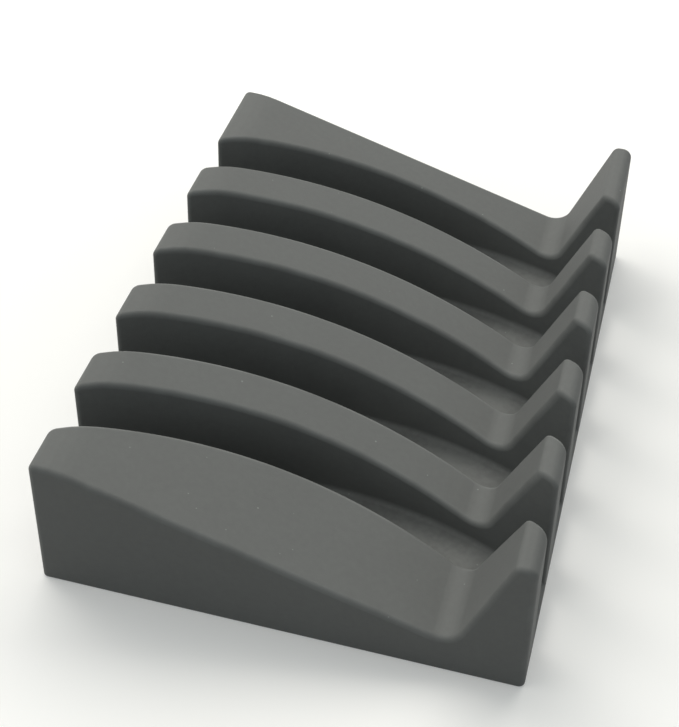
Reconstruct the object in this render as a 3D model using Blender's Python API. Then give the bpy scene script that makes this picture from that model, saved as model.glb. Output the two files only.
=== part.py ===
"""Slatted soap dish: a matte silicone moulding of six bowed ribs on a thin base.

Metres, +Z up. X runs along the ribs, from the high end of the seat to the stop.
Y runs from the front rib to the back rib. The origin is on the surface that the
dish stands on, under the middle of its footprint.
"""

import math

import bmesh
import bpy
from mathutils import Matrix, Vector

# Driving dimensions, footprint and ribs
WIDTH = 0.0800
RIB_COUNT = 6
RIB_THICKNESS = 0.0089
SLOT_WIDTH = 0.0091
SLOT_BOW = 0.0108
BASE_THICKNESS = 0.0030

# Driving dimensions, outline of a rib seen from the front
CREST_HEIGHT = 0.0260
CREST_FLAT = 0.0002
CREST_RADIUS = 0.0180
SEAT_SLOPE = math.radians(17.1)
VALLEY_RADIUS = 0.0037
STOP_SLOPE = math.radians(68.6)
STOP_HEIGHT = 0.0270
STOP_FLAT = 0.0012
STOP_RADIUS = 0.0014

# Driving dimensions, moulding details
DRAFT = math.radians(1.3)
EDGE_RADIUS = 0.0010
CORNER_RADIUS = EDGE_RADIUS + 0.0002
SKIRT_THICKNESS = 0.0030
SEAM = 0.0003

# Worked out from the driving dimensions
PITCH = RIB_THICKNESS + SLOT_WIDTH
LENGTH = RIB_COUNT * PITCH - SLOT_WIDTH + SLOT_BOW
LAST_RIB = RIB_COUNT - 1

# Facets
ARC_STEP = math.radians(14.0)
EDGE_SEGMENTS = 3
STATIONS = 20
SHARP_ANGLE = math.radians(40.0)

# Finish
SILICONE_COLOUR = (0.125, 0.128, 0.124, 1.0)
SILICONE_ROUGHNESS = 0.60


def clear_scene():
    for obj in list(bpy.data.objects):
        bpy.data.objects.remove(obj, do_unlink=True)


def matte_silicone(name):
    """A matte dark grey, non-metallic."""
    material = bpy.data.materials.new(name)
    material.use_nodes = True
    shader = material.node_tree.nodes["Principled BSDF"]
    shader.inputs["Base Color"].default_value = SILICONE_COLOUR
    shader.inputs["Roughness"].default_value = SILICONE_ROUGHNESS
    shader.inputs["Metallic"].default_value = 0.0
    material.diffuse_color = SILICONE_COLOUR
    return material


def setback(radius, turn):
    """How far from a corner its rounding starts, where the outline turns by this angle."""
    return radius * math.tan(turn / 2)


def fillet(before, corner, after, radius):
    """The points of an arc of this radius that rounds off a corner of an outline."""
    to_before = (before - corner).normalized()
    to_after = (after - corner).normalized()
    turn = math.pi - to_before.angle(to_after)
    centre = corner + (to_before + to_after).normalized() * radius / math.cos(turn / 2)
    spoke = corner + to_before * setback(radius, turn) - centre
    steps = max(1, math.ceil(turn / ARC_STEP))
    step = math.copysign(turn / steps, -to_before.cross(to_after))
    return [centre + Matrix.Rotation(step * i, 2) @ spoke for i in range(steps + 1)]


def rounded(corners):
    """A closed outline from (point, radius) corners. A radius of zero keeps the corner."""
    points = []
    for i, (corner, radius) in enumerate(corners):
        before = corners[i - 1][0]
        after = corners[(i + 1) % len(corners)][0]
        points += fillet(before, corner, after, radius) if radius else [corner]
    return points


def crossing(point, direction, other_point, other_direction):
    """Where two lines of the outline meet."""
    along = (other_point - point).cross(other_direction) / direction.cross(other_direction)
    return point + direction * along


def left_face(height):
    return Vector((height * math.tan(DRAFT), height))


def right_face(height):
    return Vector((WIDTH - height * math.tan(DRAFT), height))


def rib_outline():
    """A rib from the front: a sloped seat that ends in a valley and a steep stop."""
    corner_setback = setback(CORNER_RADIUS, math.radians(90) - DRAFT)
    crest_length = corner_setback + CREST_FLAT + setback(CREST_RADIUS, SEAT_SLOPE)
    stop_length = corner_setback + STOP_FLAT + setback(STOP_RADIUS, STOP_SLOPE)
    crest_end = left_face(CREST_HEIGHT)
    crest = crest_end + Vector((crest_length, 0))
    stop_end = right_face(STOP_HEIGHT)
    stop_tip = stop_end - Vector((stop_length, 0))
    down_seat = Vector((math.cos(SEAT_SLOPE), -math.sin(SEAT_SLOPE)))
    up_stop = Vector((math.cos(STOP_SLOPE), math.sin(STOP_SLOPE)))
    valley = crossing(crest, down_seat, stop_tip, up_stop)
    return rounded(
        [
            (left_face(0), CORNER_RADIUS),
            (right_face(0), CORNER_RADIUS),
            (stop_end, CORNER_RADIUS),
            (stop_tip, STOP_RADIUS),
            (valley, VALLEY_RADIUS),
            (crest, CREST_RADIUS),
            (crest_end, CORNER_RADIUS),
        ]
    )


def base_outline():
    """The base from the front: a thin slab with the ribs' own drafted, rounded ends."""
    return rounded(
        [
            (left_face(0), CORNER_RADIUS),
            (right_face(0), CORNER_RADIUS),
            (right_face(BASE_THICKNESS), 0),
            (left_face(BASE_THICKNESS), 0),
        ]
    )


def bow(x):
    """How far a slot's wall lies towards the back at x: an arc, level at mid-width."""
    half_width = WIDTH / 2
    radius = (half_width**2 + SLOT_BOW**2) / (2 * SLOT_BOW)
    return math.sqrt(radius**2 - (x - half_width) ** 2) - (radius - SLOT_BOW)


def extruded(outline, depth):
    """A prism of the outline, from y = 0 to y = depth."""
    shape = bmesh.new()
    face = shape.faces.new([shape.verts.new((x, 0, z)) for x, z in outline])
    grown = bmesh.ops.extrude_face_region(shape, geom=[face])
    moved = [item for item in grown["geom"] if isinstance(item, bmesh.types.BMVert)]
    bmesh.ops.translate(shape, verts=moved, vec=(0, depth, 0))
    bmesh.ops.recalc_face_normals(shape, faces=shape.faces)
    return shape


def round_edges(shape):
    """Rounds the edges between the end faces of a prism and its sides."""
    sharp = [edge for edge in shape.edges if edge.calc_face_angle(0) > SHARP_ANGLE]
    bmesh.ops.bevel(
        shape,
        geom=sharp,
        offset=EDGE_RADIUS,
        segments=EDGE_SEGMENTS,
        profile=0.5,
        affect="EDGES",
    )


def cut_stations(shape):
    """Adds a ring of edges at even steps of x, so that flat walls can be bowed."""
    for i in range(1, STATIONS):
        everything = shape.verts[:] + shape.edges[:] + shape.faces[:]
        place = Vector((WIDTH * i / STATIONS, 0, 0))
        bmesh.ops.bisect_plane(shape, geom=everything, plane_co=place, plane_no=(1, 0, 0))


def front_shift(index, x, z):
    """The front wall of a rib: drafted and straight on the first, bowed on the others."""
    return z * math.tan(DRAFT) if index == 0 else bow(x)


def back_shift(index, x, z):
    """The back wall of a rib: bowed, but drafted and straight on the last."""
    return SLOT_BOW - z * math.tan(DRAFT) if index == LAST_RIB else bow(x)


def rib_mesh(name, index):
    """A straight rib with rounded edges, whose walls are then bowed or drafted."""
    shape = extruded(rib_outline(), RIB_THICKNESS)
    round_edges(shape)
    cut_stations(shape)
    for vert in shape.verts:
        x, y, z = vert.co
        in_front = y < RIB_THICKNESS / 2
        vert.co.y += front_shift(index, x, z) if in_front else back_shift(index, x, z)
    return finished(shape, name)


def base_mesh():
    """The slab between the skirts of the front and back ribs."""
    inset = SKIRT_THICKNESS + SEAM
    shape = extruded(base_outline(), LENGTH - 2 * inset)
    bmesh.ops.translate(shape, verts=shape.verts, vec=(0, inset, 0))
    return finished(shape, "base")


def pocket_mesh():
    """The room that the ribs leave for the base."""
    beyond = EDGE_RADIUS * 4
    top = BASE_THICKNESS + SEAM
    shape = bmesh.new()
    low = Vector((-beyond, SKIRT_THICKNESS, -beyond))
    high = Vector((WIDTH + beyond, LENGTH - SKIRT_THICKNESS, top))
    bmesh.ops.create_cube(shape, size=1)
    for vert in shape.verts:
        vert.co = (low + high) / 2 + Vector(a * b for a, b in zip(vert.co, high - low))
    return finished(shape, "base_pocket")


def finished(shape, name):
    bmesh.ops.triangulate(shape, faces=shape.faces)
    bmesh.ops.recalc_face_normals(shape, faces=shape.faces)
    mesh = bpy.data.meshes.new(name)
    shape.to_mesh(mesh)
    shape.free()
    mesh.shade_smooth()
    mesh.set_sharp_from_angle(angle=SHARP_ANGLE)
    return mesh


def placed(name, mesh, whole, y=0.0):
    """An object whose corner is the left front corner of the footprint, moved back by y."""
    obj = bpy.data.objects.new(name, mesh)
    bpy.context.scene.collection.objects.link(obj)
    obj.parent = whole
    obj.location = (-WIDTH / 2, -LENGTH / 2 + y, 0)
    return obj


def add_material(obj):
    obj.data.materials.clear()
    obj.data.materials.append(matte_silicone(obj.name + "_silicone"))


def add_rib(name, mesh, index, whole, pocket):
    rib = placed(name, mesh, whole, index * PITCH)
    seat = rib.modifiers.new("seat on the base", "BOOLEAN")
    seat.operation = "DIFFERENCE"
    seat.object = pocket
    add_material(rib)


def add_pocket(whole):
    pocket = placed("base_pocket", pocket_mesh(), whole)
    pocket.hide_render = True
    pocket.display_type = "WIRE"
    return pocket


def build():
    clear_scene()
    whole = bpy.data.objects.new("soap_dish", None)
    bpy.context.scene.collection.objects.link(whole)
    pocket = add_pocket(whole)
    add_material(placed("base", base_mesh(), whole))
    for index in range(RIB_COUNT):
        name = {0: "front_rib", LAST_RIB: "back_rib"}.get(index, f"middle_rib_{index}")
        add_rib(name, rib_mesh(name, index), index, whole, pocket)


if __name__ == "__main__":
    build()
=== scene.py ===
"""Looks of the slatted soap dish: its silicone pieces, their finish, the table and the light."""

import math

import bmesh
import bpy
from bpy.props import FloatProperty, FloatVectorProperty, PointerProperty
from mathutils import Matrix, Vector


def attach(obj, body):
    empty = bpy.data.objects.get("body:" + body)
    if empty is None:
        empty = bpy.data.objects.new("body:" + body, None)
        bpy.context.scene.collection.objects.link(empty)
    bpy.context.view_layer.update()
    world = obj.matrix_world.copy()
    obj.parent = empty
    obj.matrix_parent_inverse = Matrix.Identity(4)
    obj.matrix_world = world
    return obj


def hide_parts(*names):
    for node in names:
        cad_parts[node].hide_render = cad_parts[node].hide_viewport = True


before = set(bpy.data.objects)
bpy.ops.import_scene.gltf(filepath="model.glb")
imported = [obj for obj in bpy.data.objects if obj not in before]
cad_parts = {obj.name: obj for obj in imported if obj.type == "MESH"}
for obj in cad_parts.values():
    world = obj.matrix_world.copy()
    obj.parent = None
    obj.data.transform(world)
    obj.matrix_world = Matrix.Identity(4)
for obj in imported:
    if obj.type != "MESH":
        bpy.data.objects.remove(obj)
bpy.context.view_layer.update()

bl_info = {
    "name": "Slatted Soap Dish",
    "version": (1, 0, 0),
    "blender": (4, 5, 0),
    "location": "3D View > Sidebar > Soap Dish",
    "description": "Makes a bowed-rib silicone soap dish and the table it stands on",
    "category": "Object",
}

# Pieces, from front to back, by the index of their rib
RIBS = ["front_rib", "middle_rib_1", "middle_rib_2", "middle_rib_3", "middle_rib_4", "back_rib"]

# Facets of the moulding: of its outline's roundings, of its edges, and along its ribs
ARC_STEP = math.radians(6.0)
EDGE_SEGMENTS = 6
STATION = 0.0010

# An edge is rounded where its faces turn by more than this
SHARP_ANGLE = math.radians(30.0)

# An edge whose ends lie lower than this is the underside's
UNDERSIDE = 0.000001

# Width of the cutters, and height of the slots' cutters, in widths and heights of the dish
CUTTER_WIDTH = 1.2
CUTTER_HEIGHT = 1.5

# A face that a cut has made has a stored normal shorter than this
SHORTEST_NORMAL = 0.5

# Noise of the finish: detail of the clouds and of what is finer, its roughness and its mean
CLOUD_DETAIL = 3.0
FINE_DETAIL = 2.0
PATCH_ROUGHNESS = 0.55
PATCH_MEAN = 0.5

# How strongly the patches and the film work on the grey, on its roughness and on the grain
CLOUD_TONE = 1.6
CLOUD_ROUGHNESS = 0.2
MOTTLE_ROUGHNESS = 0.1
FILM_ROUGHNESS = 0.8
MOTTLE_RELIEF = 0.8

# How many times paler than the silicone its marks are; the pale edges are partly wear and partly
# painted highlight
WORN_HIGHLIGHT_SHADE = 1.9
FILM_SHADE = 3.0
SPECK_SHADE = 3.2

# The film ends, and the worn edges with their painted highlight start, between these heights
FILM_TOP = 0.0032
WORN_HIGHLIGHT_BOTTOM = 0.0065

# Noise at which the edges start to be worn pale with painted highlight, and at which they wholly
# are
WORN_HIGHLIGHT_FROM = 0.36
WORN_HIGHLIGHT_TO = 0.62

# The same for the film, and how much the mottling frays its patches
FILM_FROM = 0.40
FILM_TO = 0.68
FILM_FRAY = 0.6

# Upright share of the normals of what starts to face up, and of what wholly does
UPWARD_FROM = 0.3
UPWARD_TO = 0.8

# Share of a dust speck's radius from which it fades
SPECK_CORE = 0.6

# How far the table reaches on each side of the dish, and its roughness
TABLE_REACH = 2.0
TABLE_ROUGHNESS = 0.8

# Colours of light
BLACK = (0.0, 0.0, 0.0, 1.0)
WHITE = (1.0, 1.0, 1.0, 1.0)


class DishShape(bpy.types.PropertyGroup):
    """Sizes of the moulding, in metres and radians."""

    width: FloatProperty(
        name="Width",
        description="Across the foot, along the ribs",
        default=0.0800,
        subtype="DISTANCE",
    )
    rib_thickness: FloatProperty(
        name="Rib thickness",
        description="Front to back, at a rib's ends",
        default=0.0089,
        subtype="DISTANCE",
    )
    slot_width: FloatProperty(
        name="Slot width",
        description="Gap between two ribs",
        default=0.0091,
        subtype="DISTANCE",
    )
    slot_bow: FloatProperty(
        name="Slot bow",
        description="How far a slot bows towards the back at mid-width",
        default=0.0108,
        subtype="DISTANCE",
    )
    base_thickness: FloatProperty(
        name="Base thickness",
        description="Height of the slots' floor",
        default=0.0030,
        subtype="DISTANCE",
    )
    crest_height: FloatProperty(
        name="Crest height",
        description="Height of the seat's high end",
        default=0.0260,
        subtype="DISTANCE",
    )
    crest_flat: FloatProperty(
        name="Crest flat",
        description="Level length between the crest's two roundings",
        default=0.0002,
        subtype="DISTANCE",
    )
    crest_radius: FloatProperty(
        name="Crest radius",
        description="Radius between the crest and the seat",
        default=0.0180,
        subtype="DISTANCE",
    )
    seat_slope: FloatProperty(
        name="Seat slope",
        description="Fall of the seat towards the stop",
        default=math.radians(17.1),
        subtype="ANGLE",
    )
    valley_radius: FloatProperty(
        name="Valley radius",
        description="Radius between the seat and the stop",
        default=0.0037,
        subtype="DISTANCE",
    )
    stop_slope: FloatProperty(
        name="Stop slope",
        description="Steepness of the stop's inner face",
        default=math.radians(68.6),
        subtype="ANGLE",
    )
    stop_height: FloatProperty(
        name="Stop height",
        description="Height of the stop's level top",
        default=0.0270,
        subtype="DISTANCE",
    )
    stop_flat: FloatProperty(
        name="Stop flat",
        description="Level length between the two roundings of the stop's top",
        default=0.0006,
        subtype="DISTANCE",
    )
    stop_radius: FloatProperty(
        name="Stop radius",
        description="Radius between the stop's inner face and its top",
        default=0.0014,
        subtype="DISTANCE",
    )
    draft: FloatProperty(
        name="Draft",
        description="Lean of the four outer faces",
        default=math.radians(1.3),
        subtype="ANGLE",
    )
    edge_radius: FloatProperty(
        name="Edge radius",
        description="Rounding of the moulding's edges",
        default=0.0010,
        subtype="DISTANCE",
    )
    crest_corner: FloatProperty(
        name="Crest corner",
        description="Rounding of the outline's corner at the seat's high end",
        default=0.0012,
        subtype="DISTANCE",
    )
    stop_corner: FloatProperty(
        name="Stop corner",
        description="Rounding of the outline's corner at the stop's top",
        default=0.0018,
        subtype="DISTANCE",
    )
    foot_radius: FloatProperty(
        name="Foot radius",
        description="Rounding of the crisp edge around the underside",
        default=0.0003,
        subtype="DISTANCE",
    )
    skirt: FloatProperty(
        name="Skirt",
        description="Thickness of the outer ribs' skirts in front of and behind the base",
        default=0.0030,
        subtype="DISTANCE",
    )
    seam: FloatProperty(
        name="Seam height",
        description="Height above the base at which the ribs part from it",
        default=0.00015,
        subtype="DISTANCE",
    )


class DishFinish(bpy.types.PropertyGroup):
    """Colour and surface of the silicone."""

    colour: FloatVectorProperty(
        name="Silicone",
        description="Dark grey of the moulding",
        default=(0.125, 0.128, 0.124),
        subtype="COLOR",
        size=3,
        min=0.0,
        max=1.0,
    )
    clouding: FloatProperty(
        name="Clouding",
        description="How much the grey varies in soft patches",
        default=0.10,
        subtype="FACTOR",
    )
    cloud_size: FloatProperty(
        name="Cloud size",
        description="Width of the soft patches",
        default=0.0140,
        subtype="DISTANCE",
    )
    mottle_size: FloatProperty(
        name="Mottle size",
        description="Width of the fine mottling",
        default=0.0011,
        subtype="DISTANCE",
    )
    # Paling of the edges: partly wear, partly painted highlight
    wear_and_highlight: FloatProperty(
        name="Rubbing",
        description="How much paler the rubbed edges are",
        default=0.25,
        subtype="FACTOR",
    )
    dust: FloatProperty(
        name="Dust",
        description="How much of a dust speck's colour covers the silicone",
        default=0.35,
        subtype="FACTOR",
    )
    speck_spacing: FloatProperty(
        name="Speck spacing",
        description="Size of the cells that each may hold a dust speck",
        default=0.0026,
        subtype="DISTANCE",
    )
    speck_radius: FloatProperty(
        name="Speck radius",
        description="Radius of the largest dust specks",
        default=0.00022,
        subtype="DISTANCE",
    )
    film: FloatProperty(
        name="Dried film",
        description="How much pale film has dried on the slots' floor",
        default=0.08,
        subtype="FACTOR",
    )
    roughness: FloatProperty(
        name="Roughness",
        description="Mattness of the silicone",
        default=0.72,
        subtype="FACTOR",
    )
    ior: FloatProperty(
        name="Refraction",
        description="Refractive index of silicone rubber",
        default=1.43,
    )
    grain_size: FloatProperty(
        name="Grain size",
        description="Width of the mould's fine matte grain",
        default=0.00022,
        subtype="DISTANCE",
    )
    grain_depth: FloatProperty(
        name="Grain depth",
        description="Depth of the mould's fine matte grain",
        default=0.00002,
        subtype="DISTANCE",
    )


class DishStage(bpy.types.PropertyGroup):
    """Table, light and camera."""

    table_colour: FloatVectorProperty(
        name="Table",
        description="Colour of the pale table",
        default=(0.835, 0.82, 0.805),
        subtype="COLOR",
        size=3,
        min=0.0,
        max=1.0,
    )
    table_bounce: FloatProperty(
        name="Table bounce",
        description="Share of its light that the table throws back at the dish",
        default=0.40,
        subtype="FACTOR",
    )
    table_lift: FloatProperty(
        name="Table lift",
        description="How much paler the table looks to the camera and in reflections",
        default=0.15,
    )
    # Painted light: a glow on the table that grows away from the dish
    far_lift: FloatProperty(
        name="Far lift",
        description="How much paler still the table looks well away from the dish",
        default=0.75,
    )
    far_start: FloatProperty(
        name="Far start",
        description="How far from the dish's middle the table starts to pale",
        default=0.05,
        subtype="DISTANCE",
    )
    far_end: FloatProperty(
        name="Far end",
        description="How far from the dish's middle the table has its palest look",
        default=0.30,
        subtype="DISTANCE",
    )
    room_strength: FloatProperty(
        name="Room light",
        description="Strength of the light from all around",
        default=0.38,
    )
    room_colour: FloatVectorProperty(
        name="Room colour",
        description="Slightly cool white of the light from all around",
        default=(0.90, 1.0, 1.02),
        subtype="COLOR",
        size=3,
        min=0.0,
        max=1.2,
    )
    window_colour: FloatVectorProperty(
        name="Window colour",
        description="Slightly warm white of both windows",
        default=(1.0, 0.975, 0.915),
        subtype="COLOR",
        size=3,
        min=0.0,
        max=1.0,
    )
    window_power: FloatProperty(
        name="Window power",
        description="Power of the wide window behind the dish, in watts",
        default=8.4,
        subtype="POWER",
    )
    window_width: FloatProperty(
        name="Window width",
        description="Width of the window behind the dish",
        default=1.5,
        subtype="DISTANCE",
    )
    window_height: FloatProperty(
        name="Window height",
        description="Height of both windows",
        default=0.60,
        subtype="DISTANCE",
    )
    window_place: FloatVectorProperty(
        name="Window place",
        description="Middle of the window behind the dish",
        default=(-0.20, 0.58, 0.80),
        subtype="TRANSLATION",
        size=3,
    )
    side_power: FloatProperty(
        name="Side window power",
        description="Power of the window beyond the dish's high end, in watts",
        default=2.3,
        subtype="POWER",
    )
    side_width: FloatProperty(
        name="Side window width",
        description="Width of the window beyond the dish's high end",
        default=0.8,
        subtype="DISTANCE",
    )
    side_place: FloatVectorProperty(
        name="Side window place",
        description="Middle of the window beyond the dish's high end",
        default=(-0.55, 0.0, 0.80),
        subtype="TRANSLATION",
        size=3,
    )
    camera_place: FloatVectorProperty(
        name="Camera place",
        description="Where the camera stands",
        default=(0.04394, -0.18644, 0.18979),
        subtype="TRANSLATION",
        size=3,
    )
    camera_turn: FloatVectorProperty(
        name="Camera turn",
        description="The camera's tilt, roll and heading",
        default=(math.radians(46.55), math.radians(-0.76), math.radians(15.29)),
        subtype="EULER",
        size=3,
    )
    camera_lens: FloatProperty(
        name="Lens",
        description="Focal length in millimetres on a 36 mm long side",
        default=71.92,
        subtype="DISTANCE_CAMERA",
    )


def linked(name, data):
    """A new object in the scene."""
    obj = bpy.data.objects.new(name, data)
    bpy.context.scene.collection.objects.link(obj)
    return obj


def baked(obj, name):
    """The object's mesh with its modifiers applied. The object is removed."""
    graph = bpy.context.evaluated_depsgraph_get()
    mesh = bpy.data.meshes.new_from_object(obj.evaluated_get(graph))
    mesh.name = name
    bpy.data.objects.remove(obj, do_unlink=True)
    return mesh


def mesh_of(shape, name):
    """The bmesh as a mesh. The bmesh is freed."""
    mesh = bpy.data.meshes.new(name)
    shape.to_mesh(mesh)
    shape.free()
    return mesh


class Field:
    """One output of a node. Arithmetic on fields adds Math nodes."""

    def __init__(self, tree, socket):
        self.tree = tree
        self.socket = socket

    def __add__(self, other):
        return math_node(self.tree, "ADD", self, other)

    def __radd__(self, other):
        return math_node(self.tree, "ADD", other, self)

    def __sub__(self, other):
        return math_node(self.tree, "SUBTRACT", self, other)

    def __rsub__(self, other):
        return math_node(self.tree, "SUBTRACT", other, self)

    def __mul__(self, other):
        return math_node(self.tree, "MULTIPLY", self, other)

    def __rmul__(self, other):
        return math_node(self.tree, "MULTIPLY", other, self)

    def __truediv__(self, other):
        return math_node(self.tree, "DIVIDE", self, other)

    def __rtruediv__(self, other):
        return math_node(self.tree, "DIVIDE", other, self)

    def __lt__(self, other):
        return math_node(self.tree, "LESS_THAN", self, other)

    def __gt__(self, other):
        return math_node(self.tree, "GREATER_THAN", self, other)

    def root(self):
        return math_node(self.tree, "SQRT", self)

    def tangent(self):
        return math_node(self.tree, "TANGENT", self)


def node(tree, kind, settings=None, inputs=None):
    """A node of this kind. Its settings are set first, then its inputs are set or linked."""
    made = tree.nodes.new(kind)
    for name, value in (settings or {}).items():
        setattr(made, name, value)
    for key, value in (inputs or {}).items():
        plug(tree, made.inputs[key], value)
    return made


def plug(tree, socket, value):
    """Links a field or an output to the socket, or sets the socket to a plain value."""
    if isinstance(value, Field):
        value = value.socket
    if isinstance(value, bpy.types.NodeSocket):
        tree.links.new(value, socket)
    else:
        socket.default_value = value


def math_node(tree, operation, *values):
    made = node(tree, "ShaderNodeMath", {"operation": operation}, dict(enumerate(values)))
    return Field(tree, made.outputs[0])


def vector_of(tree, x, y, z):
    return node(tree, "ShaderNodeCombineXYZ", inputs={0: x, 1: y, 2: z}).outputs[0]


def parts_of(tree, vector):
    """The x, y and z of a vector, as fields."""
    made = node(tree, "ShaderNodeSeparateXYZ", inputs={0: vector})
    return [Field(tree, socket) for socket in made.outputs]


def eased(tree, value, low, high):
    """Nought below low, one above high, and a smooth step between."""
    made = node(
        tree,
        "ShaderNodeMapRange",
        {"interpolation_type": "SMOOTHSTEP"},
        {"Value": value, "From Min": low, "From Max": high},
    )
    return Field(tree, made.outputs[0])


def patches(tree, place, width, detail):
    """Soft noise around its mean, with patches of this width in metres."""
    values = {
        "Vector": place,
        "Scale": 1 / width,
        "Detail": detail,
        "Roughness": PATCH_ROUGHNESS,
    }
    return Field(tree, node(tree, "ShaderNodeTexNoise", inputs=values).outputs[0])


def blended(tree, amount, first, second):
    """A colour that goes from the first to the second by this amount."""
    sockets = {0: amount, 6: first, 7: second}
    return node(tree, "ShaderNodeMix", {"data_type": "RGBA"}, sockets).outputs[2]


def shade_of(colour, factor):
    """The colour made darker or paler by a factor, with full opacity."""
    return (*[channel * factor for channel in colour], 1.0)


def geometry_tree(name, inputs):
    """A geometry tree with these named inputs, as (name, socket type), and a field for each."""
    tree = bpy.data.node_groups.new(name, "GeometryNodeTree")
    tree.interface.new_socket("Geometry", in_out="INPUT", socket_type="NodeSocketGeometry")
    for label, kind in inputs + [("Material", "NodeSocketMaterial")]:
        tree.interface.new_socket(label, in_out="INPUT", socket_type=kind)
    tree.interface.new_socket("Geometry", in_out="OUTPUT", socket_type="NodeSocketGeometry")
    source = tree.nodes.new("NodeGroupInput")
    return tree, {socket.name: Field(tree, socket) for socket in source.outputs if socket.name}


def finish_tree(tree, geometry, material):
    """Ends a geometry tree: real geometry, in its material."""
    real = node(tree, "GeometryNodeRealizeInstances", inputs={0: geometry})
    dressed = node(
        tree,
        "GeometryNodeSetMaterial",
        inputs={"Geometry": real.outputs[0], "Material": material},
    )
    node(tree, "NodeGroupOutput", inputs={0: dressed.outputs[0]})
    return tree


def use_tree(obj, tree, values):
    """Adds the tree to the object as a modifier, with these values in its named inputs."""
    modifier = obj.modifiers.new(tree.name, "NODES")
    modifier.node_group = tree
    for item in tree.interface.items_tree:
        if item.in_out == "INPUT" and item.name in values:
            modifier[item.identifier] = values[item.name]


def slots_tree():
    """Cuts a row of equal slots out of a block, down to their floor."""
    tree, given = geometry_tree(
        "Cut the slots",
        [
            ("Count", "NodeSocketInt"),
            ("Pitch", "NodeSocketFloat"),
            ("First", "NodeSocketFloat"),
            ("Slot width", "NodeSocketFloat"),
            ("Floor", "NodeSocketFloat"),
            ("Width", "NodeSocketFloat"),
            ("Height", "NodeSocketFloat"),
        ],
    )
    middle_height = given["Floor"] + given["Height"] / 2
    line = node(
        tree,
        "GeometryNodeMeshLine",
        inputs={
            "Count": given["Count"],
            "Start Location": vector_of(tree, given["Width"] / 2, given["First"], middle_height),
            "Offset": vector_of(tree, 0.0, given["Pitch"], 0.0),
        },
    )
    width = given["Width"] * CUTTER_WIDTH
    size = vector_of(tree, width, given["Slot width"], given["Height"])
    cutter = node(tree, "GeometryNodeMeshCube", inputs={"Size": size})
    row = node(
        tree,
        "GeometryNodeInstanceOnPoints",
        inputs={"Points": line.outputs["Mesh"], "Instance": cutter.outputs["Mesh"]},
    )
    cutters = node(tree, "GeometryNodeRealizeInstances", inputs={0: row.outputs[0]})
    cut = node(
        tree,
        "GeometryNodeMeshBoolean",
        {"operation": "DIFFERENCE", "solver": "EXACT"},
        {"Mesh 1": given["Geometry"], "Mesh 2": cutters.outputs[0]},
    )
    return finish_tree(tree, cut.outputs["Mesh"], given["Material"])


def bow_tree():
    """Bows the slots' walls, leans the front and back faces and centres the dish."""
    tree, given = geometry_tree(
        "Bow the ribs",
        [
            ("Width", "NodeSocketFloat"),
            ("Block length", "NodeSocketFloat"),
            ("Rib thickness", "NodeSocketFloat"),
            ("Slot bow", "NodeSocketFloat"),
            ("Draft", "NodeSocketFloat"),
        ],
    )
    place = node(tree, "GeometryNodeInputPosition")
    x, y, z = parts_of(tree, place.outputs[0])
    half = given["Width"] / 2
    bow = given["Slot bow"]
    radius = (half * half + bow * bow) / (bow * 2)
    off_middle = x - half
    arc = (radius * radius - off_middle * off_middle).root() - (radius - bow)
    lean = z * given["Draft"].tangent()
    half_rib = given["Rib thickness"] / 2
    front = y < half_rib
    back = y > given["Block length"] - half_rib
    shift = arc * (1 - front - back) + lean * front + (bow - lean) * back
    centring = (given["Block length"] + bow) / -2
    moved = node(
        tree,
        "GeometryNodeSetPosition",
        inputs={
            "Geometry": given["Geometry"],
            "Offset": vector_of(tree, half * -1, shift + centring, 0.0),
        },
    )
    smooth = node(tree, "GeometryNodeSetShadeSmooth", inputs={"Geometry": moved.outputs[0]})
    return finish_tree(tree, smooth.outputs[0], given["Material"])


def parting_tree():
    """Keeps what lies in the base's room, or what lies outside it."""
    tree, given = geometry_tree(
        "Part the base from the ribs",
        [
            ("Keep the base", "NodeSocketBool"),
            ("Width", "NodeSocketFloat"),
            ("Length", "NodeSocketFloat"),
            ("Skirt", "NodeSocketFloat"),
            ("Parting height", "NodeSocketFloat"),
        ],
    )
    # The room is four parting heights high, and is lowered by one so that its top is at the parting
    height = given["Parting height"]
    between_skirts = given["Length"] - given["Skirt"] * 2
    size = vector_of(tree, given["Width"] * CUTTER_WIDTH, between_skirts, height * 4)
    cutter = node(tree, "GeometryNodeMeshCube", inputs={"Size": size})
    lowering = vector_of(tree, 0.0, 0.0, height * -1)
    room = node(
        tree,
        "GeometryNodeSetPosition",
        inputs={"Geometry": cutter.outputs["Mesh"], "Offset": lowering},
    )
    outside = node(
        tree,
        "GeometryNodeMeshBoolean",
        {"operation": "DIFFERENCE", "solver": "EXACT"},
        {"Mesh 1": given["Geometry"], "Mesh 2": room.outputs[0]},
    )
    inside = node(
        tree,
        "GeometryNodeMeshBoolean",
        {"operation": "INTERSECT", "solver": "EXACT"},
        {"Mesh 2": given["Geometry"]},
    )
    # An intersection takes all its meshes in the one socket
    plug(tree, inside.inputs["Mesh 2"], room.outputs[0])
    kept = node(
        tree,
        "GeometryNodeSwitch",
        {"input_type": "GEOMETRY"},
        {"Switch": given["Keep the base"], "False": outside.outputs[0], "True": inside.outputs[0]},
    )
    return finish_tree(tree, kept.outputs[0], given["Material"])


def setback(radius, turn):
    """How far from a corner its rounding starts, where the outline turns by this angle."""
    return radius * math.tan(turn / 2)


def fillet(before, corner, after, radius):
    """The points of an arc of this radius that rounds off a corner of an outline."""
    to_before = (before - corner).normalized()
    to_after = (after - corner).normalized()
    turn = math.pi - to_before.angle(to_after)
    centre = corner + (to_before + to_after).normalized() * radius / math.cos(turn / 2)
    spoke = corner + to_before * setback(radius, turn) - centre
    steps = max(1, math.ceil(turn / ARC_STEP))
    step = math.copysign(turn / steps, -to_before.cross(to_after))
    return [centre + Matrix.Rotation(step * i, 2) @ spoke for i in range(steps + 1)]


def crossing(point, direction, other_point, other_direction):
    """Where two lines of the outline meet."""
    along = (other_point - point).cross(other_direction) / direction.cross(other_direction)
    return point + direction * along


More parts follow.
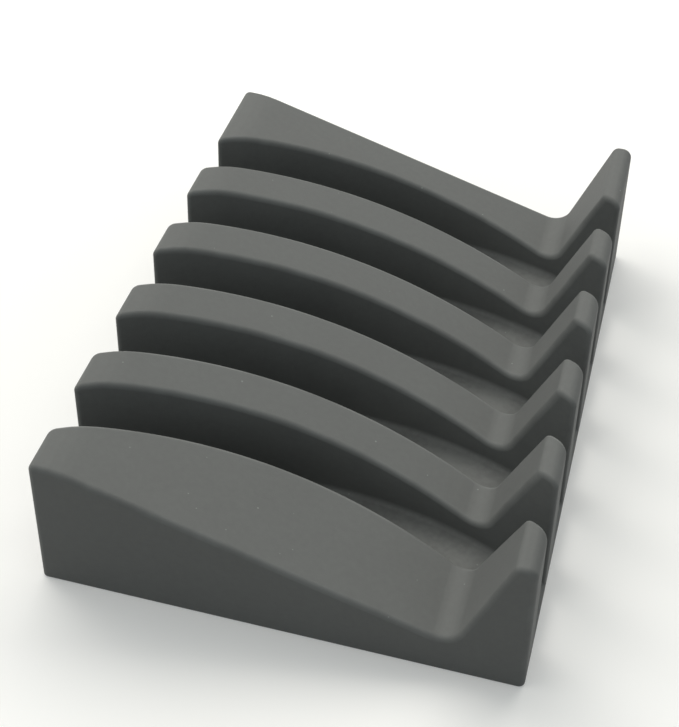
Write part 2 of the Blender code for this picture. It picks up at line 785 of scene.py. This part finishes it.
def outline(dish):
    """The dish from the front: a sloped seat that ends in a valley and a steep stop."""
    lean = math.tan(dish.draft)
    corner_turn = math.radians(90) - dish.draft
    crest_length = (
        setback(dish.crest_corner, corner_turn)
        + dish.crest_flat
        + setback(dish.crest_radius, dish.seat_slope)
    )
    stop_length = (
        setback(dish.stop_corner, corner_turn)
        + dish.stop_flat
        + setback(dish.stop_radius, dish.stop_slope)
    )
    foot_left = Vector((0, 0))
    foot_right = Vector((dish.width, 0))
    crest_end = Vector((lean * dish.crest_height, dish.crest_height))
    crest = crest_end + Vector((crest_length, 0))
    stop_end = Vector((dish.width - lean * dish.stop_height, dish.stop_height))
    stop_tip = stop_end - Vector((stop_length, 0))
    down_seat = Vector((math.cos(dish.seat_slope), -math.sin(dish.seat_slope)))
    up_stop = Vector((math.cos(dish.stop_slope), math.sin(dish.stop_slope)))
    valley = crossing(crest, down_seat, stop_tip, up_stop)
    corners = [
        (foot_left, 0),
        (foot_right, 0),
        (stop_end, dish.stop_corner),
        (stop_tip, dish.stop_radius),
        (valley, dish.valley_radius),
        (crest, dish.crest_radius),
        (crest_end, dish.crest_corner),
    ]
    points = []
    for i, (corner, radius) in enumerate(corners):
        before = corners[i - 1][0]
        after = corners[(i + 1) % len(corners)][0]
        points += fillet(before, corner, after, radius) if radius else [corner]
    return points


def slotted_block(dish, material):
    """The moulding before it is bowed and rounded: its outline drawn out straight, and slotted."""
    pitch = dish.rib_thickness + dish.slot_width
    slots = len(RIBS) - 1
    shape = bmesh.new()
    face = shape.faces.new([shape.verts.new((x, 0, z)) for x, z in outline(dish)])
    grown = bmesh.ops.extrude_face_region(shape, geom=[face])
    moved = [item for item in grown["geom"] if isinstance(item, bmesh.types.BMVert)]
    bmesh.ops.translate(shape, verts=moved, vec=(0, block_length(dish), 0))
    bmesh.ops.recalc_face_normals(shape, faces=shape.faces)
    block = linked("block", mesh_of(shape, "block"))
    use_tree(
        block,
        slots_tree(),
        {
            "Count": slots,
            "Pitch": pitch,
            "First": dish.rib_thickness + dish.slot_width / 2,
            "Slot width": dish.slot_width,
            "Floor": dish.base_thickness,
            "Width": dish.width,
            "Height": dish.stop_height * CUTTER_HEIGHT,
            "Material": material,
        },
    )
    return baked(block, "slotted_block")


def block_length(dish):
    """The moulding from front to back, before it is bowed."""
    return (len(RIBS) - 1) * (dish.rib_thickness + dish.slot_width) + dish.rib_thickness


def on_underside(edge):
    return all(vert.co.z < UNDERSIDE for vert in edge.verts)


def round_edges(shape, dish):
    """Rounds every edge, and marks what lies on a rounding for the material."""
    rounding = shape.faces.layers.int.new("rounding")
    for at_foot, radius in ((False, dish.edge_radius), (True, dish.foot_radius)):
        sharp = [edge for edge in shape.edges if edge.calc_face_angle(0) > SHARP_ANGLE]
        rounded = bmesh.ops.bevel(
            shape,
            geom=[edge for edge in sharp if on_underside(edge) == at_foot],
            offset=radius,
            segments=EDGE_SEGMENTS,
            profile=0.5,
            affect="EDGES",
        )
        for face in rounded["faces"]:
            face[rounding] = 1
    mark = shape.verts.layers.float.new("rounding")
    for vert in shape.verts:
        vert[mark] = float(all(face[rounding] for face in vert.link_faces))
    shape.faces.layers.int.remove(rounding)


def add_stations(shape, dish):
    """Rings of edges at even steps of x, so that flat walls can be bowed."""
    for i in range(1, round(dish.width / STATION)):
        everything = shape.verts[:] + shape.edges[:] + shape.faces[:]
        place = Vector((i * STATION, 0, 0))
        bmesh.ops.bisect_plane(shape, geom=everything, plane_co=place, plane_no=(1, 0, 0))


def whole_moulding(dish, material):
    """The dish as it was moulded, in one skin. Its normals are kept as an attribute."""
    shape = bmesh.new()
    shape.from_mesh(slotted_block(dish, material))
    round_edges(shape, dish)
    add_stations(shape, dish)
    moulding = linked("moulding", mesh_of(shape, "moulding"))
    use_tree(
        moulding,
        bow_tree(),
        {
            "Width": dish.width,
            "Block length": block_length(dish),
            "Rib thickness": dish.rib_thickness,
            "Slot bow": dish.slot_bow,
            "Draft": dish.draft,
            "Material": material,
        },
    )
    weighting = moulding.modifiers.new("even shading", "WEIGHTED_NORMAL")
    weighting.weight = 100
    mesh = baked(moulding, "moulding")
    normals = [0.0] * (3 * len(mesh.loops))
    mesh.corner_normals.foreach_get("vector", normals)
    mesh.attributes.new("shading", "FLOAT_VECTOR", "CORNER").data.foreach_set("vector", normals)
    mesh.attributes.remove(mesh.attributes["custom_normal"])
    return mesh


def parted(dish, material, keep_base):
    """The base, or the ribs without it, cut out of the whole moulding."""
    moulding = linked("parted", whole_moulding(dish, material))
    use_tree(
        moulding,
        parting_tree(),
        {
            "Keep the base": keep_base,
            "Width": dish.width,
            "Length": block_length(dish) + dish.slot_bow,
            "Skirt": dish.skirt,
            "Parting height": dish.base_thickness + dish.seam,
            "Material": material,
        },
    )
    return baked(moulding, "parted")


def connected(shape):
    """The separate bodies of a mesh, as sets of faces."""
    waiting = set(shape.faces)
    bodies = []
    while waiting:
        front = [waiting.pop()]
        body = set(front)
        while front:
            face = front.pop()
            for edge in face.edges:
                for other in edge.link_faces:
                    if other in waiting:
                        waiting.remove(other)
                        body.add(other)
                        front.append(other)
        bodies.append(body)
    return bodies


def mean_depth(body):
    """How far back a body lies, for sorting."""
    return sum(face.calc_center_median().y for face in body) / len(body)


def bodies_from_front(mesh):
    """A mesh for each separate body, from the front one to the back one."""
    shape = bmesh.new()
    shape.from_mesh(mesh)
    count = len(connected(shape))
    shape.free()
    meshes = []
    for index in range(count):
        shape = bmesh.new()
        shape.from_mesh(mesh)
        bodies = sorted(connected(shape), key=mean_depth)
        others = [face for body in bodies if body is not bodies[index] for face in body]
        bmesh.ops.delete(shape, geom=others, context="FACES")
        body = mesh_of(shape, "body")
        body.materials.append(mesh.materials[0])
        meshes.append(body)
    return meshes


def restore_shading(mesh):
    """Gives a cut piece the normals of the whole moulding, so that no seam shows."""
    stored = mesh.attributes["shading"]
    normals = [Vector(item.vector) for item in stored.data]
    for face in mesh.polygons:
        for corner in face.loop_indices:
            known = normals[corner].length > SHORTEST_NORMAL
            normals[corner] = normals[corner].normalized() if known else face.normal.copy()
    mesh.attributes.remove(stored)
    mesh.normals_split_custom_set(normals)


def add_piece(mesh, node_name):
    """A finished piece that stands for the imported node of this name."""
    restore_shading(mesh)
    mesh.name = node_name + "_silicone"
    piece = linked(mesh.name, mesh)
    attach(piece, "root")
    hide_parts(node_name)


class SOAPDISH_OT_add_base(bpy.types.Operator):
    """Adds the thin base that closes the slots at the bottom"""

    bl_idname = "soapdish.add_base"
    bl_label = "Add the Base"

    def execute(self, context):
        scene = context.scene
        mesh = parted(scene.dish_shape, silicone(scene.dish_finish), True)
        add_piece(mesh, "base")
        return {"FINISHED"}


class SOAPDISH_OT_add_ribs(bpy.types.Operator):
    """Adds the straight-faced outer ribs and the bowed ribs between them"""

    bl_idname = "soapdish.add_ribs"
    bl_label = "Add the Ribs"

    def execute(self, context):
        scene = context.scene
        meshes = bodies_from_front(parted(scene.dish_shape, silicone(scene.dish_finish), False))
        if len(meshes) != len(RIBS):
            raise RuntimeError(f"the moulding parted into {len(meshes)} ribs, not {len(RIBS)}")
        for mesh, node_name in zip(meshes, RIBS):
            add_piece(mesh, node_name)
        return {"FINISHED"}


def silicone(finish):
    """Matte dark grey silicone: clouded and mottled, fine-grained, worn pale on its edges, where a
    highlight is also painted.
    """
    if "matte_silicone" in bpy.data.materials:
        return bpy.data.materials["matte_silicone"]
    material = bpy.data.materials.new("matte_silicone")
    material.use_nodes = True
    tree = material.node_tree
    place = node(tree, "ShaderNodeTexCoord").outputs["Object"]
    clouds = patches(tree, place, finish.cloud_size, CLOUD_DETAIL)
    mottle = patches(tree, place, finish.mottle_size, FINE_DETAIL)
    grain = patches(tree, place, finish.grain_size, FINE_DETAIL)
    cloudiness = clouds - PATCH_MEAN
    mottling = mottle - PATCH_MEAN
    raised = eased(tree, parts_of(tree, place)[2], FILM_TOP, WORN_HIGHLIGHT_BOTTOM)
    # Pale edges high up: partly wear, partly painted highlight
    worn_and_highlit = worn_and_highlit_edges(tree, clouds) * raised * finish.wear_and_highlight
    film = dried_film(tree, clouds, mottling) * (1 - raised) * finish.film
    specks = dust_specks(tree, place, finish) * finish.dust

    colour = blended(
        tree,
        cloudiness * CLOUD_TONE + mottle,
        shade_of(finish.colour, 1 - finish.clouding),
        shade_of(finish.colour, 1 + finish.clouding),
    )
    # Paler marks: worn edges with painted highlight, dried film and dust
    for amount, shade in ((worn_and_highlit, WORN_HIGHLIGHT_SHADE), (film, FILM_SHADE), (specks, SPECK_SHADE)):
        colour = blended(tree, amount, colour, shade_of(finish.colour, shade))
    roughness = (
        finish.roughness
        + cloudiness * CLOUD_ROUGHNESS
        + mottling * MOTTLE_ROUGHNESS
        + film * FILM_ROUGHNESS
    )
    relief = grain + mottle * MOTTLE_RELIEF
    bump = node(
        tree,
        "ShaderNodeBump",
        inputs={"Strength": 1.0, "Distance": finish.grain_depth, "Height": relief},
    )
    shader = tree.nodes["Principled BSDF"]
    shader.inputs["IOR"].default_value = finish.ior
    plug(tree, shader.inputs["Base Color"], colour)
    plug(tree, shader.inputs["Roughness"], roughness)
    plug(tree, shader.inputs["Normal"], bump.outputs["Normal"])
    return material


def worn_and_highlit_edges(tree, clouds):
    """Where roundings are worn pale, with a painted highlight, in long worn stretches."""
    mark = node(tree, "ShaderNodeAttribute", {"attribute_name": "rounding"})
    return Field(tree, mark.outputs["Fac"]) * eased(tree, clouds, WORN_HIGHLIGHT_FROM, WORN_HIGHLIGHT_TO)


def facing_up(tree):
    """One on what faces up, and nought on walls and below."""
    normal = node(tree, "ShaderNodeNewGeometry").outputs["Normal"]
    return eased(tree, parts_of(tree, normal)[2], UPWARD_FROM, UPWARD_TO)


def dried_film(tree, clouds, mottling):
    """Where water has left a pale film, in frayed patches, on what faces up."""
    frayed = clouds + mottling * FILM_FRAY
    return facing_up(tree) * eased(tree, frayed, FILM_FROM, FILM_TO)


def dust_specks(tree, place, finish):
    """Small round specks, each of its own size, on what faces up."""
    cells = node(
        tree,
        "ShaderNodeTexVoronoi",
        {"feature": "F1"},
        {"Vector": place, "Scale": 1 / finish.speck_spacing, "Randomness": 1.0},
    )
    from_speck = Field(tree, cells.outputs["Distance"]) * finish.speck_spacing
    radius = parts_of(tree, cells.outputs["Color"])[0] * finish.speck_radius
    return (1 - eased(tree, from_speck, radius * SPECK_CORE, radius)) * facing_up(tree)


def pale_table(stage):
    """Matte white that keeps the dish's shadow and runs to white where it is lit, and far off by a
    painted glow.
    """
    material = bpy.data.materials.new("table")
    material.use_nodes = True
    tree = material.node_tree
    place = node(tree, "ShaderNodeTexCoord").outputs["Object"]
    away = node(tree, "ShaderNodeVectorMath", {"operation": "LENGTH"}, {0: place}).outputs["Value"]
    # Painted light: besides an even glow, the table glows paler with distance from the dish
    lift = eased(tree, away, stage.far_start, stage.far_end) * stage.far_lift + stage.table_lift
    seen = seen_rays(tree)
    glow = blended(tree, lift * seen, BLACK, WHITE)
    unseen_colour = shade_of(stage.table_colour, stage.table_bounce)
    seen_colour = shade_of(stage.table_colour, 1)
    shader = tree.nodes["Principled BSDF"]
    shader.inputs["Roughness"].default_value = TABLE_ROUGHNESS
    shader.inputs["Emission Strength"].default_value = 1.0
    plug(tree, shader.inputs["Emission Color"], glow)
    plug(tree, shader.inputs["Base Color"], blended(tree, seen, unseen_colour, seen_colour))
    return material


def seen_rays(tree):
    """One for rays of the camera, of reflections and of glass, and nought for the light's own."""
    ray = node(tree, "ShaderNodeLightPath")
    camera, glossy, glass = [
        Field(tree, ray.outputs[f"Is {kind} Ray"]) for kind in ("Camera", "Glossy", "Transmission")
    ]
    return math_node(tree, "MAXIMUM", math_node(tree, "MAXIMUM", camera, glossy), glass)


class SOAPDISH_OT_set_stage(bpy.types.Operator):
    """Adds the table, the light and the camera"""

    bl_idname = "soapdish.set_stage"
    bl_label = "Set the Stage"

    def execute(self, context):
        stage = context.scene.dish_stage
        add_table(stage)
        add_light(context.scene, stage)
        add_camera(context.scene, stage)
        context.scene.view_settings.view_transform = "Standard"
        return {"FINISHED"}


def add_table(stage):
    shape = bmesh.new()
    bmesh.ops.create_grid(shape, x_segments=1, y_segments=1, size=TABLE_REACH)
    table = linked("table", mesh_of(shape, "table"))
    table.data.materials.append(pale_table(stage))


def add_window(stage, name, place, width, power):
    """A soft rectangular light that faces the dish and isn't seen itself."""
    data = bpy.data.lights.new(name, "AREA")
    data.color = stage.window_colour
    data.shape = "RECTANGLE"
    data.size = width
    data.size_y = stage.window_height
    data.energy = power
    window = linked(name, data)
    window.location = place
    window.rotation_euler = (-window.location).to_track_quat("-Z", "Y").to_euler()
    window.visible_camera = False


def add_light(scene, stage):
    """Two soft windows in a dim room that looks white to the camera and in reflections."""
    world = bpy.data.worlds.new("room")
    world.use_nodes = True
    tree = world.node_tree
    room = tree.nodes["Background"]
    dim = shade_of(stage.room_colour, stage.room_strength)
    plug(tree, room.inputs["Color"], blended(tree, seen_rays(tree), dim, WHITE))
    scene.world = world
    add_window(stage, "back_window", stage.window_place, stage.window_width, stage.window_power)
    add_window(stage, "side_window", stage.side_place, stage.side_width, stage.side_power)


def add_camera(scene, stage):
    data = bpy.data.cameras.new("camera")
    data.lens = stage.camera_lens
    data.sensor_width = 36.0
    data.clip_start = 0.01
    data.clip_end = 10.0
    camera = linked("camera", data)
    camera.location = stage.camera_place
    camera.rotation_euler = stage.camera_turn
    scene.camera = camera


class SOAPDISH_PT_panel(bpy.types.Panel):
    """Lists the dish's settings and operators"""

    bl_label = "Soap Dish"
    bl_idname = "SOAPDISH_PT_panel"
    bl_space_type = "VIEW_3D"
    bl_region_type = "UI"
    bl_category = "Soap Dish"

    def draw(self, context):
        layout = self.layout
        scene = context.scene
        for settings in (scene.dish_shape, scene.dish_finish, scene.dish_stage):
            box = layout.box()
            for name in settings.__annotations__:
                box.prop(settings, name)
        for operator in (SOAPDISH_OT_add_base, SOAPDISH_OT_add_ribs, SOAPDISH_OT_set_stage):
            layout.operator(operator.bl_idname)


CLASSES = (
    DishShape,
    DishFinish,
    DishStage,
    SOAPDISH_OT_add_base,
    SOAPDISH_OT_add_ribs,
    SOAPDISH_OT_set_stage,
    SOAPDISH_PT_panel,
)


def register():
    for cls in CLASSES:
        bpy.utils.register_class(cls)
    bpy.types.Scene.dish_shape = PointerProperty(type=DishShape)
    bpy.types.Scene.dish_finish = PointerProperty(type=DishFinish)
    bpy.types.Scene.dish_stage = PointerProperty(type=DishStage)


def unregister():
    del bpy.types.Scene.dish_stage
    del bpy.types.Scene.dish_finish
    del bpy.types.Scene.dish_shape
    for cls in reversed(CLASSES):
        bpy.utils.unregister_class(cls)


def main():
    register()
    bpy.ops.soapdish.set_stage()
    bpy.ops.soapdish.add_base()
    bpy.ops.soapdish.add_ribs()


if __name__ == "__main__":
    main()
